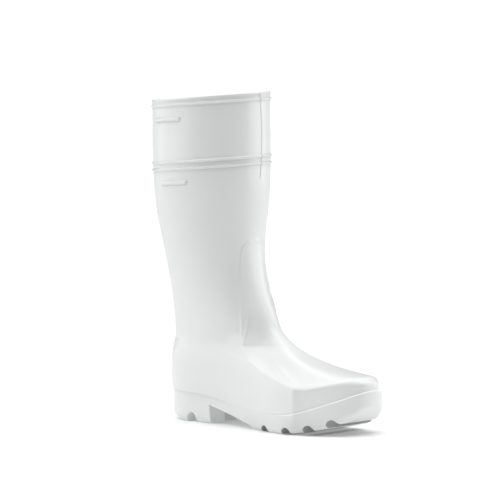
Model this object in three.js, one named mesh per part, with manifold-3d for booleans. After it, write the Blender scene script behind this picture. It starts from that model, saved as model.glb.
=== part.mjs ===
// A knee-high moulded work boot for the right foot, standing empty on its sole.
// Millimetres, +Z up, toe towards +X, medial side towards +Y. Three pieces: the hollow upper, which is foot,
// shaft and collar in one moulding, the outsole with its heel, and the loose insole.
// Every form is a stack of closed loops round the boot. The foot's loops come from the stations table, the
// shaft's from the shaft table, and a cubic B-spline runs through the stack.
import * as THREE from "three";
import { mergeVertices } from "three/addons/utils/BufferGeometryUtils.js";
import Module from "manifold-3d";

const wasm = await Module();
wasm.setup();

// Driving sizes of the foot
const soleLength = 294;
const ballWidth = 103;
const seatHeight = 36; // floor to the top of the sole at the heel's back
const shoulderHeight = 78; // floor to the ledge where the foot meets the ankle
const toeSpring = 32; // how far the toe's tip lifts off the floor
const heelHeight = 22; // floor to the arch, just in front of the heel
const instepHeight = 108; // floor to the front of the ankle's loop

// Driving sizes of the shaft
const bootHeight = 384; // floor to the collar's front
const collarFall = 14; // how much lower the collar is at its back
const collarDepth = 145; // front to back
const collarWidth = 126;
const shaftLine = 48; // the collar's centre, forward of the heel's back

// Walls and clearances
const shaftWall = 2.8;
const footWall = 4.2;
const gap = 0.3; // between pieces that touch
const insoleThickness = 4;
const insoleClearance = 1.2; // round the insole, inside the upper

// Raised work on the shaft
const ridgeHeight = 1.3;
const ridgeWidth = 3.6;
const ridgeCrest = 1.4; // the flat on a ridge's top
const collarRidgeDrop = 8; // from the collar's edge down to its ridge
const cuffRidgeDrop = 74; // down to the upper one of the cuff's two ridges
const cuffRidgePitch = 8;
const barHeight = 5.2; // up and down
const barProud = 1.5;
const barFoot = 1; // how deep a bar is rooted in the wall

// Sole details
const lipChamfer = 1;
const edgeRadius = 6; // the round between the sole's side and its tread
const treadStep = 4.5; // where the arch ends in front
const treadStart = 147; // from the heel's back to the first edge of the forefoot tread
const breastTop = 77; // from the heel's back to the heel's front face, under the arch
const breastSlope = 1.5; // how much further forward that face is at the floor
const grooveWidth = 12.5;
const grooveHeight = 7.5;
const heelGrooveWidth = 16;
const heelGrooveHeight = 11.5;
const channelWidth = 20; // the hollow in the middle of the heel's front
const channelLength = 30;
const channelHeight = 14;

// Stations along the foot, toe first. Lengths are shares: x of soleLength, lateral and medial of ballWidth,
// seat of seatHeight, shoulder of shoulderHeight and ground of toeSpring. turn is where on the shaft's round
// the station runs up to, in degrees from the front. overhang, bulge, edgeIn, topIn and topUp are how far the
// upper's loops lie outside or inside the sole's edge and above the shoulder, as shares of ballWidth, and dip
// is how much of the instep's hollow the station takes.
const stations = [
  { x: 1.0, lateral: -0.06, medial: 0.06, turn: 0, seat: 1.52, shoulder: 0.845, ground: 1.06,
    overhang: -0.022, bulge: -0.03, edgeIn: 0.04, topIn: 0.12, topUp: 0.05, dip: 0.92 },
  { x: 0.99, lateral: 0.11, medial: 0.22, turn: 5, seat: 1.45, shoulder: 0.845, ground: 1.02,
    overhang: -0.022, bulge: -0.03, edgeIn: 0.04, topIn: 0.12, topUp: 0.05, dip: 0.92 },
  { x: 0.935, lateral: 0.27, medial: 0.395, turn: 11, seat: 1.24, shoulder: 0.81, ground: 0.52,
    overhang: -0.02, bulge: -0.026, edgeIn: 0.036, topIn: 0.12, topUp: 0.075, dip: 0.9 },
  { x: 0.84, lateral: 0.395, medial: 0.48, turn: 18, seat: 0.94, shoulder: 0.72, ground: 0.2,
    overhang: -0.015, bulge: -0.014, edgeIn: 0.025, topIn: 0.12, topUp: 0.12, dip: 0.8 },
  { x: 0.745, lateral: 0.5, medial: 0.505, turn: 26, seat: 0.69, shoulder: 0.64, ground: 0.05,
    overhang: -0.01, bulge: -0.002, edgeIn: 0.015, topIn: 0.12, topUp: 0.13, dip: 0.6 },
  { x: 0.68, lateral: 0.53, medial: 0.485, turn: 33, seat: 0.62, shoulder: 0.64, ground: 0,
    overhang: -0.004, bulge: 0.008, edgeIn: 0.015, topIn: 0.12, topUp: 0.14, dip: 0.4 },
  { x: 0.565, lateral: 0.455, medial: 0.4, turn: 45, seat: 0.57, shoulder: 0.74, ground: -0.02,
    overhang: 0, bulge: 0.025, edgeIn: 0.015, topIn: 0.1, topUp: 0.12, dip: 0.2 },
  { x: 0.425, lateral: 0.365, medial: 0.305, turn: 66, seat: 0.61, shoulder: 0.92, ground: 0,
    overhang: 0.012, bulge: 0.05, edgeIn: -0.025, topIn: 0.03, topUp: 0.07, dip: 0 },
  { x: 0.272, lateral: 0.34, medial: 0.31, turn: 94, seat: 0.94, shoulder: 1.01, ground: 0,
    overhang: 0.022, bulge: 0.05, edgeIn: -0.035, topIn: 0.0, topUp: 0.06, dip: 0 },
  { x: 0.13, lateral: 0.36, medial: 0.36, turn: 125, seat: 0.97, shoulder: 1.04, ground: -0.06,
    overhang: 0.021, bulge: 0.032, edgeIn: -0.022, topIn: 0.0, topUp: 0.06, dip: 0 },
  { x: 0.027, lateral: 0.27, medial: 0.27, turn: 153, seat: 1.0, shoulder: 1.05, ground: 0.13,
    overhang: 0.018, bulge: 0.022, edgeIn: -0.01, topIn: 0.02, topUp: 0.06, dip: 0 },
  { x: -0.013, lateral: 0, medial: 0, turn: 180, seat: 1.01, shoulder: 1.05, ground: 0.38,
    overhang: 0.018, bulge: 0.022, edgeIn: -0.008, topIn: 0.03, topUp: 0.06, dip: 0 },
];

// Loops of the shaft, ankle first. height is a share of the rise from instepHeight to bootHeight, at the
// loop's front, and fall a share of collarFall. centre and depth are shares of collarDepth, centre forward
// of shaftLine, and width is a share of collarWidth.
const shaftLoops = [
  { height: 0.0, fall: 1.0, centre: 0.177, depth: 0.995, width: 0.65 },
  { height: 0.07, fall: 0.65, centre: 0.157, depth: 0.957, width: 0.665 },
  { height: 0.14, fall: 0.45, centre: 0.115, depth: 0.915, width: 0.695 },
  { height: 0.21, fall: 0.4, centre: 0.082, depth: 0.874, width: 0.735 },
  { height: 0.285, fall: 0.45, centre: 0.052, depth: 0.862, width: 0.78 },
  { height: 0.375, fall: 0.6, centre: 0.03, depth: 0.88, width: 0.84 },
  { height: 0.485, fall: 0.75, centre: 0.017, depth: 0.938, width: 0.92 },
  { height: 0.59, fall: 0.9, centre: 0.012, depth: 0.985, width: 0.98 },
  { height: 0.72, fall: 1.0, centre: 0.006, depth: 1.0, width: 1.0 },
  { height: 0.86, fall: 1.0, centre: 0, depth: 1.0, width: 1.0 },
  { height: 1.0, fall: 1.0, centre: 0, depth: 1.0, width: 1.0 },
];

// The two trimming bars on each side: drop from the collar as a share of bootHeight, and the angles from the
// front between which a bar runs.
const bars = [
  { name: "upper", drop: 0.064, from: 83, to: 120 },
  { name: "lower", drop: 0.256, from: 77, to: 111 },
];

// Transverse grooves of the forefoot tread, as shares of soleLength
const grooveStations = [0.588, 0.711, 0.816, 0.905];

const instepDip = 17; // depth of the hollow between toe cap and instep
const columns = 60; // points round each loop

const clampUnit = (v) => Math.min(1, Math.max(0, v));
const radians = THREE.MathUtils.degToRad;

// The four weights of a uniform cubic B-spline at u between two control values
function splineWeights(u) {
  const v = 1 - u;
  return [v ** 3 / 6, (3 * u ** 3 - 6 * u ** 2 + 4) / 6, (3 * v ** 3 - 6 * v ** 2 + 4) / 6, u ** 3 / 6];
}

// The closed ring of stations: toe, medial side, heel, lateral side
const stationRing = (() => {
  const medial = stations.map((s) => ({ ...s, y: s.medial }));
  const lateral = stations.slice(1, -1).reverse();
  return [...medial, ...lateral.map((s) => ({ ...s, y: -s.lateral, turn: 360 - s.turn }))];
})();
const ringFields = Object.keys(stationRing[0]);

// All columns of the stations table at q, a share of the way round from the toe's tip
function ringAt(q) {
  const n = stationRing.length;
  const place = (q - Math.floor(q)) * n;
  const first = Math.floor(place);
  const weights = splineWeights(place - first);
  const sum = Object.fromEntries(ringFields.map((f) => [f, 0]));
  weights.forEach((w, k) => {
    const index = first - 1 + k;
    const row = stationRing[((index % n) + n) % n];
    for (const f of ringFields) sum[f] += w * row[f];
    sum.turn += w * 360 * Math.floor(index / n);
  });
  return sum;
}

// The spline runs inside its control points, so the outline is stretched to the sole's true size.
const outlineReach = (() => {
  const ring = Array.from({ length: 400 }, (_, i) => ringAt(i / 400));
  const xs = ring.map((p) => p.x);
  const ys = ring.map((p) => p.y);
  return { x0: Math.min(...xs), x1: Math.max(...xs), y0: Math.min(...ys), y1: Math.max(...ys) };
})();

// The sole's edge in plan at q, moved outwards by offset
function outlineAt(q, offset = 0) {
  const size = outlineReach;
  const place = (p) => [
    ((p.x - size.x0) / (size.x1 - size.x0)) * soleLength,
    (p.y / (size.y1 - size.y0)) * ballWidth,
  ];
  const step = 1e-4;
  const [x, y] = place(ringAt(q));
  const [xa, ya] = place(ringAt(q - step));
  const [xb, yb] = place(ringAt(q + step));
  const run = Math.hypot(xb - xa, yb - ya);
  return [x + (offset * (yb - ya)) / run, y - (offset * (xb - xa)) / run];
}

// Heights that follow the length of the foot, read at any x
const profile = Array.from({ length: 241 }, (_, i) => {
  const q = i / 480;
  const row = ringAt(q);
  return { x: outlineAt(q)[0], seat: row.seat * seatHeight, ground: Math.max(0, row.ground) * toeSpring };
});
function heightAt(field, x) {
  const next = profile.findIndex((p) => p.x <= x);
  if (next === 0) return profile[0][field];
  if (next < 0) return profile[profile.length - 1][field];
  const [a, b] = [profile[next - 1], profile[next]];
  return THREE.MathUtils.lerp(a[field], b[field], (a.x - x) / (a.x - b.x));
}

// Loops of the upper from the sole up to the shoulder of the foot
function wallLoop(share, offsetOf) {
  return (q) => {
    const row = ringAt(q);
    const [x, y] = outlineAt(q, offsetOf(row) * ballWidth);
    const low = heightAt("seat", x) + gap;
    return new THREE.Vector3(x, y, THREE.MathUtils.lerp(low, row.shoulder * shoulderHeight, share));
  };
}
function topEdge(q) {
  const row = ringAt(q);
  const [x, y] = outlineAt(q, -row.topIn * ballWidth);
  return new THREE.Vector3(x, y, row.shoulder * shoulderHeight + row.topUp * ballWidth);
}

// One loop of the shaft: an ellipse, lower at the back
function shaftLoop(row) {
  return (q) => {
    const angle = radians(ringAt(q).turn);
    const ahead = (collarDepth / 2) * row.depth * Math.cos(angle);
    const front = instepHeight + (bootHeight - instepHeight) * row.height;
    const fallen = (collarFall * row.fall * (1 - Math.cos(angle))) / 2;
    return new THREE.Vector3(
      shaftLine + collarDepth * row.centre + ahead,
      (collarWidth / 2) * row.width * Math.sin(angle),
      front - fallen,
    );
  };
}

// A loop of the vamp, part of the way from the foot's top edge to the ankle
function vampLoop(share, sag) {
  const ankle = shaftLoop(shaftLoops[0]);
  return (q) => {
    const point = topEdge(q).lerp(ankle(q), share);
    point.z -= instepDip * ringAt(q).dip * sag;
    return point;
  };
}

const upperLoops = [
  wallLoop(0, (row) => row.overhang),
  wallLoop(0.35, (row) => row.bulge),
  wallLoop(0.8, (row) => row.bulge),
  wallLoop(1, (row) => -row.edgeIn),
  topEdge,
  vampLoop(0.34, 0.8),
  vampLoop(0.7, 0.88),
  ...shaftLoops.map(shaftLoop),
];

// A point of the upper's outer form. level runs from 0 at the sole to levels at the collar.
const levels = upperLoops.length - 1;
const loopCache = new Map();
function loopPoint(index, q) {
  const key = `${index}:${q.toFixed(6)}`;
  if (!loopCache.has(key)) loopCache.set(key, upperLoops[index](q));
  return loopCache.get(key);
}
function controlPoint(index, q) {
  if (index < 0) return loopPoint(0, q).clone().multiplyScalar(2).sub(loopPoint(1, q));
  if (index > levels) return loopPoint(levels, q).clone().multiplyScalar(2).sub(loopPoint(levels - 1, q));
  return loopPoint(index, q);
}
function upperBase(q, level) {
  const first = Math.min(levels - 1, Math.floor(level));
  const weights = splineWeights(level - first);
  const point = new THREE.Vector3();
  weights.forEach((w, k) => point.addScaledVector(controlPoint(first - 1 + k, q), w));
  return point;
}

// The same point moved out along the surface's normal, or in where out is negative
function upperPoint(q, level, out = 0) {
  const point = upperBase(q, level);
  if (out === 0) return point;
  const dq = 0.002;
  const dl = 0.02;
  const across = upperBase(q + dq, level).sub(upperBase(q - dq, level));
  const up = upperBase(q, Math.min(levels, level + dl)).sub(upperBase(q, Math.max(0, level - dl)));
  return point.addScaledVector(across.cross(up).normalize(), out);
}

// The level at which the front of the shaft has a given height
function levelAtHeight(height) {
  let [low, high] = [upperLoops.length - shaftLoops.length - 1, levels];
  for (let i = 0; i < 40; i++) {
    const middle = (low + high) / 2;
    if (upperBase(0, middle).z < height) low = middle;
    else high = middle;
  }
  return (low + high) / 2;
}

// A closed mesh from rings of equal length, each ring one row of points, with the last row joined to the first
function tubeShell(rings) {
  const count = rings[0].length;
  const positions = rings.flat().flatMap((p) => p.toArray());
  const index = [];
  rings.forEach((_, r) => {
    const next = (r + 1) % rings.length;
    for (let c = 0; c < count; c++) {
      const d = (c + 1) % count;
      const [a, b] = [r * count + c, r * count + d];
      const [e, f] = [next * count + c, next * count + d];
      index.push(a, b, f, a, f, e);
    }
  });
  return geometryOf(positions, index);
}

// A closed solid from a stack of rings, lowest first. Each end is closed by a ladder from side to side.
function cappedStack(rings) {
  const count = rings[0].length;
  const positions = rings.flat().flatMap((p) => p.toArray());
  const index = [];
  for (let r = 0; r + 1 < rings.length; r++) {
    for (let c = 0; c < count; c++) {
      const d = (c + 1) % count;
      const [a, b] = [r * count + c, r * count + d];
      const [e, f] = [a + count, b + count];
      index.push(a, b, f, a, f, e);
    }
  }
  const top = (rings.length - 1) * count;
  for (let c = 0; c < count / 2; c++) {
    const [a, b] = [c, c + 1];
    const [e, f] = [(count - c) % count, count - c - 1];
    for (const [base, facesUp] of [[0, false], [top, true]]) {
      const faces = c === 0 ? [[a, b, f]] : c + 1 === count / 2 ? [[a, b, e]] : [[a, b, f], [a, f, e]];
      for (const [i, j, k] of faces) {
        if (facesUp) index.push(base + i, base + j, base + k);
        else index.push(base + i, base + k, base + j);
      }
    }
  }
  return geometryOf(positions, index);
}

function geometryOf(positions, index) {
  const geometry = new THREE.BufferGeometry();
  geometry.setAttribute("position", new THREE.Float32BufferAttribute(positions, 3));
  geometry.setIndex(index);
  return geometry;
}

// Geometry to a solid that can be joined and cut, and back
function solidOf(geometry) {
  const bare = geometry.clone();
  bare.deleteAttribute("normal");
  bare.deleteAttribute("uv");
  const merged = mergeVertices(bare, 1e-4);
  return new wasm.Manifold(
    new wasm.Mesh({
      numProp: 3,
      vertProperties: merged.attributes.position.array,
      triVerts: new Uint32Array(merged.index.array),
    }),
  );
}
function geometryFrom(solid) {
  const { vertProperties, triVerts } = solid.getMesh();
  const geometry = new THREE.BufferGeometry();
  geometry.setAttribute("position", new THREE.BufferAttribute(vertProperties, 3));
  geometry.setIndex(new THREE.BufferAttribute(triVerts, 1));
  geometry.computeVertexNormals();
  return geometry;
}

const around = (pointAt) => Array.from({ length: columns }, (_, c) => pointAt(c / columns));

// Where the rows of the upper's two faces lie, closest together round the shoulder and the instep
const footLevels = [0, 0.6, 1.2, 1.7, 2.1, 2.5, 2.9, 3.3, 3.8, 4.4, 5, 5.6, 6.2, 6.8, 7.4];
const shaftLevels = [8, 8.7, 9.4, 10.2, 11, 12, 13, 14, 15.6];

// Rows of the outer face, from the sole to the collar, with four rows for each ridge
function outerRows() {
  const rows = [...footLevels, ...shaftLevels].map((level) => ({ level, out: 0 }));
  const drops = [cuffRidgeDrop + cuffRidgePitch, cuffRidgeDrop, collarRidgeDrop];
  for (const drop of drops) {
    const middle = bootHeight - drop;
    rows.push({ level: levelAtHeight(middle - ridgeWidth / 2), out: 0 });
    rows.push({ level: levelAtHeight(middle - ridgeCrest / 2), out: ridgeHeight });
    rows.push({ level: levelAtHeight(middle + ridgeCrest / 2), out: ridgeHeight });
    rows.push({ level: levelAtHeight(middle + ridgeWidth / 2), out: 0 });
  }
  rows.push({ level: levels, out: 0 });
  return rows.sort((a, b) => a.level - b.level);
}

function wallAt(level) {
  const share = clampUnit((level - 3) / 6);
  return THREE.MathUtils.lerp(footWall, shaftWall, share);
}

// The inner face's lowest row stands on the sole, straight in from the outer one.
function seatRow(inset) {
  return around((q) => {
    const [x, y] = outlineAt(q, ringAt(q).overhang * ballWidth - inset);
    return new THREE.Vector3(x, y, heightAt("seat", x) + gap);
  });
}

// A trimming bar: the stretch of wall between two angles and two heights, grown outwards and rooted in the wall
function barSolid(bar, side) {
  const steps = 10;
  const middle = bootHeight * (1 - bar.drop);
  const [low, high] = [middle - barHeight / 2, middle + barHeight / 2].map(levelAtHeight);
  const slant = 0.7; // the bar's top face is a little smaller than its root
  const lean = (high - low) * (1 - slant) * 0.5;
  const rings = [];
  for (let i = 0; i <= steps; i++) {
    const end = i === 0 || i === steps;
    const angle = THREE.MathUtils.lerp(bar.from, bar.to, i / steps);
    const q = columnAtTurn(side > 0 ? angle : 360 - angle);
    const proud = end ? barProud * 0.4 : barProud;
    rings.push([
      upperPoint(q, low, -barFoot),
      upperPoint(q, high, -barFoot),
      upperPoint(q, high - lean, proud),
      upperPoint(q, low + lean, proud),
    ]);
  }
  return solidOf(beam(side > 0 ? rings.reverse() : rings));
}

// The share round the ring at which the shaft is reached at a given angle from its front
function columnAtTurn(turn) {
  let [low, high] = [0, 1];
  for (let i = 0; i < 40; i++) {
    const middle = (low + high) / 2;
    if (ringAt(middle).turn < turn) low = middle;
    else high = middle;
  }
  return (low + high) / 2;
}

// A closed beam through four-cornered rings
function beam(rings) {
  const positions = rings.flat().flatMap((p) => p.toArray());
  const index = [];
  for (let r = 0; r + 1 < rings.length; r++) {
    for (let c = 0; c < 4; c++) {
      const d = (c + 1) % 4;
      const [a, b] = [r * 4 + c, r * 4 + d];
      const [e, f] = [a + 4, b + 4];
      index.push(a, f, b, a, e, f);
    }
  }
  const last = (rings.length - 1) * 4;
  index.push(0, 1, 2, 0, 2, 3);
  index.push(last, last + 2, last + 1, last, last + 3, last + 2);
  return geometryOf(positions, index);
}

function makeUpper() {
  const outer = outerRows().map(({ level, out }) => around((q) => upperPoint(q, level, out)));
  const innerLevels = [...footLevels.slice(1), ...shaftLevels].reverse();
  const collar = around((q) => upperPoint(q, levels, -shaftWall));
  const inner = innerLevels.map((level) => around((q) => upperPoint(q, level, -wallAt(level))));
  let upper = solidOf(tubeShell([...outer, collar, ...inner, seatRow(footWall)]));
  for (const bar of bars) {
    for (const side of [1, -1]) upper = upper.add(barSolid(bar, side));
  }
  return geometryFrom(upper);
}

// One loop of the sole. Its height is measured down from the seat or up from the ground.
function soleRing(offset, heightOf) {
  return around((q) => {
    const [x, y] = outlineAt(q, offset);
    return new THREE.Vector3(x, y, heightOf(x));
  });
}

// A solid from an outline in the side view, as wide as the sole and more
function sideCut(shape) {
  const width = ballWidth * 2;
  const geometry = new THREE.ExtrudeGeometry(shape, { depth: width, bevelEnabled: false, curveSegments: 12 });
  geometry.rotateX(Math.PI / 2).translate(0, width / 2, 0);
  return solidOf(geometry);
}

function archVoid() {
  const under = edgeRadius;
  const shape = new THREE.Shape();
  shape.moveTo(breastTop + breastSlope * (1 + under / heelHeight), -under);
  shape.lineTo(breastTop, heelHeight);
  shape.lineTo(treadStart, treadStep);
  shape.lineTo(treadStart + treadStep, -under);
  return sideCut(shape);
}

function groove(x, width, height) {
  const floor = heightAt("ground", x);
  const shape = new THREE.Shape();
  shape.absellipse(x, floor, width / 2, height, 0, Math.PI * 2, false, 0);
  return sideCut(shape);
}

function heelChannel() {
  const end = breastTop + breastSlope + edgeRadius / 3;
  const geometry = new THREE.BoxGeometry(channelLength, channelWidth, channelHeight * 2);
  return solidOf(geometry.translate(end - channelLength / 2, 0, 0));
}

function makeSole() {
  const seat = (x) => heightAt("seat", x);
  const ground = (x) => heightAt("ground", x);
  const side = edgeRadius;
  let sole = solidOf(
    cappedStack([
      soleRing(-side, ground),
      soleRing(-side * 0.6, (x) => ground(x) + side * 0.1),
      soleRing(-side * 0.2, (x) => ground(x) + side * 0.45),
      soleRing(0, (x) => ground(x) + side),
      soleRing(0, (x) => seat(x) - lipChamfer),
      soleRing(-lipChamfer, seat),
    ]),
  );
  sole = sole.subtract(archVoid());
  for (const share of grooveStations) {
    sole = sole.subtract(groove(share * soleLength, grooveWidth, grooveHeight));
  }
  const heelMiddle = (breastTop + breastSlope) * 0.62;
  sole = sole.subtract(groove(heelMiddle, heelGrooveWidth, heelGrooveHeight));
  sole = sole.subtract(heelChannel());
  return geometryFrom(sole);
}

function makeInsole() {
  const inset = footWall + insoleClearance;
  const low = (x) => heightAt("seat", x) + gap;
  const ring = (extra, rise) => around((q) => {
    const [x, y] = outlineAt(q, ringAt(q).overhang * ballWidth - inset - extra);
    return new THREE.Vector3(x, y, low(x) + rise);
  });
  return cappedStack([ring(0, 0), ring(0, insoleThickness * 0.7), ring(insoleThickness * 0.3, insoleThickness)]);
}

function piece(name, geometry, colour, roughness) {
  const material = new THREE.MeshStandardMaterial({ color: colour, roughness, metalness: 0 });
  const mesh = new THREE.Mesh(geometry, material);
  mesh.name = name;
  return mesh;
}

const boot = new THREE.Group();
boot.add(piece("upper", makeUpper(), 0xf4f5f4, 0.25));
boot.add(piece("outsole", makeSole(), 0xf1f3f2, 0.3));
boot.add(piece("insole", makeInsole(), 0xe6e6e2, 0.9));

// The origin is on the floor, below the middle of the boot's box.
const box = new THREE.Box3().setFromObject(boot);
const middle = box.getCenter(new THREE.Vector3());
boot.position.set(-middle.x, -middle.y, -box.min.z);

export default boot;
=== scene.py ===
"""The dress of a white moulded boot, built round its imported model.

The upper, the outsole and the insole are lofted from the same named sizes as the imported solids, at a finer
grain. They carry the low relief, the knitted lining and the finishes that those solids leave out.
"""

import logging
import math
from dataclasses import dataclass
from enum import Enum

import bmesh
import bpy
import numpy as np
from mathutils import Matrix, Vector


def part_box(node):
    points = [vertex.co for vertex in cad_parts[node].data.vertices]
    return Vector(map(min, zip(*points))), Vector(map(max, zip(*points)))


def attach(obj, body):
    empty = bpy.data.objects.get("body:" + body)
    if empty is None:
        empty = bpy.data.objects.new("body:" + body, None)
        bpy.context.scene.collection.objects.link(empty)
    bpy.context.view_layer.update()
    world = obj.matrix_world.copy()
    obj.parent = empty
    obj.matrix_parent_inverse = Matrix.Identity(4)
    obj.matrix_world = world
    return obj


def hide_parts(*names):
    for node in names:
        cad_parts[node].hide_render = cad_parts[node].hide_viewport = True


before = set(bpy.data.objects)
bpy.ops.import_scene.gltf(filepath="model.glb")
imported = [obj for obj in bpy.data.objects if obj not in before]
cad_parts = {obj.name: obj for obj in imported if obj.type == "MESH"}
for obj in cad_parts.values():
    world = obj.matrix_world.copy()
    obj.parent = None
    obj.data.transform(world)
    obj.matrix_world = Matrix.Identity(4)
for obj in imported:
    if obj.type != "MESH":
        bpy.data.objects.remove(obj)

MILLIMETRE = 0.001
log = logging.getLogger("boot")


class Slot(Enum):
    """The record's material slots."""

    UPPER = "upper"
    OUTSOLE = "outsole"
    INSOLE = "insole"


class Base(Enum):
    """What a height is measured from."""

    SEAT = "seat"
    GROUND = "ground"


class Space(Enum):
    """The coordinates that a pattern can follow."""

    OBJECT = "Object"
    MAP = "UV"
    SKY = "Generated"


# ---------------------------------------------------------------------------------------------------------
# The last: stations along the foot and loops up the shaft
# ---------------------------------------------------------------------------------------------------------


@dataclass(frozen=True)
class Station:
    """One place along the foot, toe first, in shares of the named sizes.

    x is a share of the sole's length; lateral and medial of the ball's width; seat, shoulder and ground of
    their heights. turn is where on the shaft's round the station runs up to, in degrees from the front.
    overhang, bulge, edge_in, top_in and top_up place the upper's loops beside the sole's edge, and dip is
    how much of the instep's hollow the station takes.
    """

    x: float
    lateral: float
    medial: float
    turn: float
    seat: float
    shoulder: float
    ground: float
    overhang: float
    bulge: float
    edge_in: float
    top_in: float
    top_up: float
    dip: float


@dataclass(frozen=True)
class ShaftLoop:
    """One loop of the shaft, in shares of the collar's sizes."""

    height: float
    fall: float
    centre: float
    depth: float
    width: float


STATIONS = (
    Station(1.0, -0.06, 0.06, 0, 1.52, 0.79, 1.06, -0.037, -0.04, 0.052, 0.11, 0.05, 0.72),
    Station(0.99, 0.11, 0.22, 5, 1.45, 0.79, 1.02, -0.037, -0.04, 0.05, 0.105, 0.05, 0.72),
    Station(0.935, 0.27, 0.395, 11, 1.24, 0.765, 0.52, -0.035, -0.037, 0.038, 0.07, 0.05, 0.6),
    Station(0.84, 0.395, 0.48, 18, 0.94, 0.685, 0.2, -0.03, -0.025, 0.027, 0.056, 0.052, 0.43),
    Station(0.745, 0.5, 0.505, 26, 0.69, 0.635, 0.05, -0.014, -0.006, 0.01, 0.036, 0.052, 0.33),
    Station(0.68, 0.53, 0.485, 33, 0.62, 0.71, 0, -0.005, 0.0, 0.018, 0.042, 0.05, 0.42),
    Station(0.565, 0.455, 0.4, 45, 0.57, 0.8, -0.02, 0, 0.012, 0.002, 0.022, 0.052, 0.2),
    Station(0.425, 0.365, 0.305, 66, 0.61, 0.99, 0, 0.003, 0.038, -0.032, -0.016, 0.06, 0),
    Station(0.272, 0.34, 0.31, 94, 0.94, 1.0, 0, 0.017, 0.048, -0.046, -0.034, 0.055, 0),
    Station(0.13, 0.36, 0.36, 125, 0.97, 1.02, -0.06, 0.021, 0.032, -0.026, -0.014, 0.055, 0),
    Station(0.027, 0.27, 0.27, 153, 1.0, 1.05, 0.13, 0.018, 0.022, -0.012, 0.004, 0.06, 0),
    Station(-0.013, 0, 0, 180, 1.01, 1.05, 0.38, 0.018, 0.022, -0.01, 0.012, 0.06, 0),
)

SHAFT_LOOPS = (
    ShaftLoop(0.0, 1.0, 0.177, 1.04, 0.585),
    ShaftLoop(0.07, 0.65, 0.157, 0.985, 0.625),
    ShaftLoop(0.14, 0.45, 0.115, 0.92, 0.685),
    ShaftLoop(0.21, 0.4, 0.082, 0.875, 0.735),
    ShaftLoop(0.285, 0.45, 0.052, 0.862, 0.78),
    ShaftLoop(0.375, 0.6, 0.03, 0.88, 0.84),
    ShaftLoop(0.485, 0.75, 0.017, 0.938, 0.92),
    ShaftLoop(0.59, 0.9, 0.012, 0.985, 0.98),
    ShaftLoop(0.72, 1.0, 0.006, 1.0, 1.0),
    ShaftLoop(0.86, 1.0, 0, 1.0, 1.0),
    ShaftLoop(1.0, 1.0, 0, 1.0, 1.0),
)

STATION_FIELDS = tuple(Station.__dataclass_fields__)


def spline_weights(u: np.ndarray) -> np.ndarray:
    """The four weights of a uniform cubic B-spline.

    Args:
        u: Places between two control values, from 0 to 1.

    Returns:
        An array with the four weights along its first axis.
    """
    v = 1 - u
    return np.stack(
        [v**3 / 6, (3 * u**3 - 6 * u**2 + 4) / 6, (3 * v**3 - 6 * v**2 + 4) / 6, u**3 / 6]
    )


def ease(low: float, high: float, value: np.ndarray) -> np.ndarray:
    """A step from 0 at low to 1 at high, without a jump in its curvature."""
    t = np.clip((value - low) / (high - low), 0, 1)
    return t**3 * (10 - 15 * t + 6 * t * t)


def bead(offset: np.ndarray, width: float) -> np.ndarray:
    """A rounded ridge, 1 at offset 0 and close to 0 past its width."""
    return np.exp(-((offset / width) ** 2))


def signed(turn: np.ndarray) -> np.ndarray:
    """An angle from the front, from -180 to 180 degrees."""
    return (turn + 180) % 360 - 180


def around(count: int) -> np.ndarray:
    """That many equal shares of the way round the boot, from 0."""
    return np.linspace(0, 1, count + 1)[:-1]


def inward(ring: np.ndarray, shares: np.ndarray) -> list[np.ndarray]:
    """Rows from a ring's edge towards its middle line.

    Args:
        ring: The ring's points, in order round the boot from the toe.
        shares: How far each row lies on the way to the other side, with 0.5 in the middle.

    Returns:
        One row for each share.
    """
    mirrored = (-np.arange(len(ring))) % len(ring)
    return [ring + (ring[mirrored] - ring) * share for share in shares]


def distance_to_path(s: np.ndarray, z: np.ndarray, path: np.ndarray) -> np.ndarray:
    """How far each place lies from a line through points.

    Args:
        s: Places across, in millimetres.
        z: Places up, of the same shape.
        path: The line's points, one (s, z) a row.

    Returns:
        The distance of each place from the nearest stretch of the line.
    """
    nearest = np.full(s.shape, 1e9)
    for (s0, z0), (s1, z1) in zip(path[:-1], path[1:]):
        run, rise = s1 - s0, z1 - z0
        share = np.clip(((s - s0) * run + (z - z0) * rise) / (run**2 + rise**2), 0, 1)
        nearest = np.minimum(nearest, np.hypot(s - s0 - share * run, z - z0 - share * rise))
    return nearest


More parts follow.
